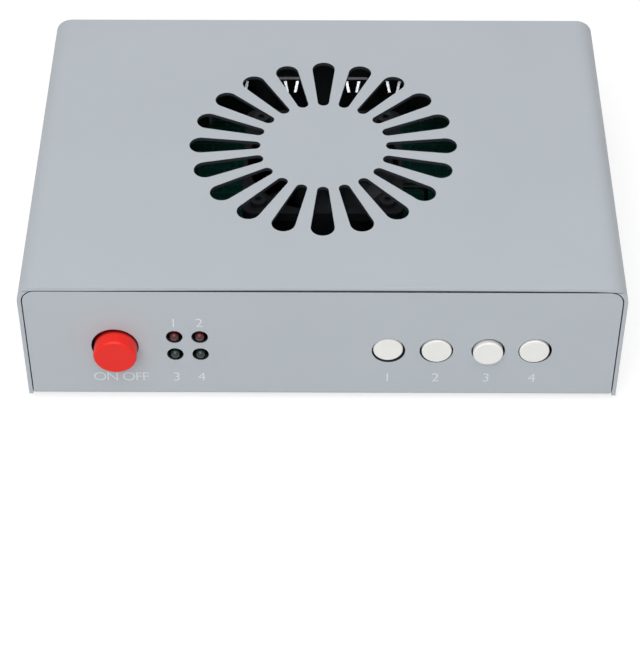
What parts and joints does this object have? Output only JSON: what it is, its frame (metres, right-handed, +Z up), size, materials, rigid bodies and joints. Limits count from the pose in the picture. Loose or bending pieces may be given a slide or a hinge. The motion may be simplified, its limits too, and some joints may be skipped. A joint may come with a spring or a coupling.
{
  "type": "bench controller",
  "caption": "Low folded-steel bench controller box with a round slotted fan vent in its top, and a red power button, indicator lamps and white push keys on its front.",
  "frame": {"origin": "centre of the overall box on the plane under the feet", "axes": "+X to the right seen from the front, +Y from the front panel to the rear, +Z up"},
  "size_m": [0.1826, 0.136, 0.048],
  "materials": {
    "case_paint": "satin powder coat, pale blue-grey",
    "screw_black": "black oxide",
    "screw_steel": "zinc plated",
    "foot_rubber": "matte",
    "board_green": "solder mask",
    "post_steel": "zinc plated",
    "switch_black": "moulded",
    "stem_white": "moulded",
    "power_red": "satin",
    "key_white": "moulded, satin",
    "lamp_red": "tinted clear resin, unlit",
    "lamp_green": "tinted clear resin, unlit",
    "spacer_nylon": "moulded",
    "module_black": "moulded epoxy",
    "pad_grey": "soft silicone",
    "sink_aluminium": "black anodised",
    "fan_black": "moulded",
    "stator_copper": "enamelled winding",
    "lead_black": "soft sleeve",
    "plug_white": "moulded",
    "jack_black": "moulded",
    "contact_metal": "bright tin plate",
    "usb_steel": "drawn shell",
    "can_sleeve": "shrunk sleeve",
    "ferrite": "coated ferrite"
  },
  "bodies": {
    "case": {"top_cover": "case_paint", "base_tray": "case_paint", "rubber_feet": "foot_rubber", "cover_screws": "screw_steel", "dc_jack": "jack_black", "dc_jack_pin": "contact_metal", "usb_shell": "usb_steel", "usb_tongue": "jack_black", "cover_nuts": "screw_steel", "key_board": "board_green", "panel_posts": "post_steel", "key_board_screws": "screw_steel", "power_switch": "switch_black", "lamp_spacers": "spacer_nylon", "main_board": "board_green", "floor_posts": "post_steel", "main_board_screws": "screw_steel", "power_module": "module_black", "thermal_pad": "pad_grey", "heat_sink": "sink_aluminium", "fan_frame": "fan_black", "fan_stator": "stator_copper", "fan_screws": "screw_black", "fan_lead": "lead_black", "fan_plug": "plug_white", "fan_socket": "plug_white", "driver_bodies": "module_black", "driver_sockets": "switch_black", "driver_legs": "contact_metal", "driver_clips": "contact_metal", "capacitors": "can_sleeve", "choke": "ferrite", "controller_chip": "module_black", "board_link": "module_black", "key_switch_1": "switch_black", "key_switch_2": "switch_black", "key_switch_3": "switch_black", "key_switch_4": "switch_black", "lamp_red_1": "lamp_red", "lamp_red_2": "lamp_red", "lamp_green_1": "lamp_green", "lamp_green_2": "lamp_green"},
    "power_button": {"power_cap": "power_red", "power_stem": "stem_white"},
    "fan_wheel": {"fan_rotor": "fan_black"},
    "key_1": {"key_cap_1": "key_white", "key_stem_1": "stem_white"},
    "key_2": {"key_cap_2": "key_white", "key_stem_2": "stem_white"},
    "key_3": {"key_cap_3": "key_white", "key_stem_3": "stem_white"},
    "key_4": {"key_cap_4": "key_white", "key_stem_4": "stem_white"}
  },
  "joints": [
    {"name": "power_press", "type": "slide", "parent": "case", "child": "power_button", "axis": [0, 1, 0], "range_m": [0, 0.0022], "stiffness_N_per_m": 500, "springref_m": -0.002},
    {"name": "key_1_press", "type": "slide", "parent": "case", "child": "key_1", "axis": [0, 1, 0], "range_m": [0, 0.00035], "stiffness_N_per_m": 600, "springref_m": -0.001},
    {"name": "key_2_press", "type": "slide", "parent": "case", "child": "key_2", "axis": [0, 1, 0], "range_m": [0, 0.00035], "stiffness_N_per_m": 600, "springref_m": -0.001},
    {"name": "key_3_press", "type": "slide", "parent": "case", "child": "key_3", "axis": [0, 1, 0], "range_m": [0, 0.00035], "stiffness_N_per_m": 600, "springref_m": -0.001},
    {"name": "key_4_press", "type": "slide", "parent": "case", "child": "key_4", "axis": [0, 1, 0], "range_m": [0, 0.00035], "stiffness_N_per_m": 600, "springref_m": -0.001},
    {"name": "fan_spin", "type": "hinge", "parent": "case", "child": "fan_wheel", "pos_m": [0, 0.00205, 0.032], "axis": [0, 0, 1], "continuous": true}
  ]
}
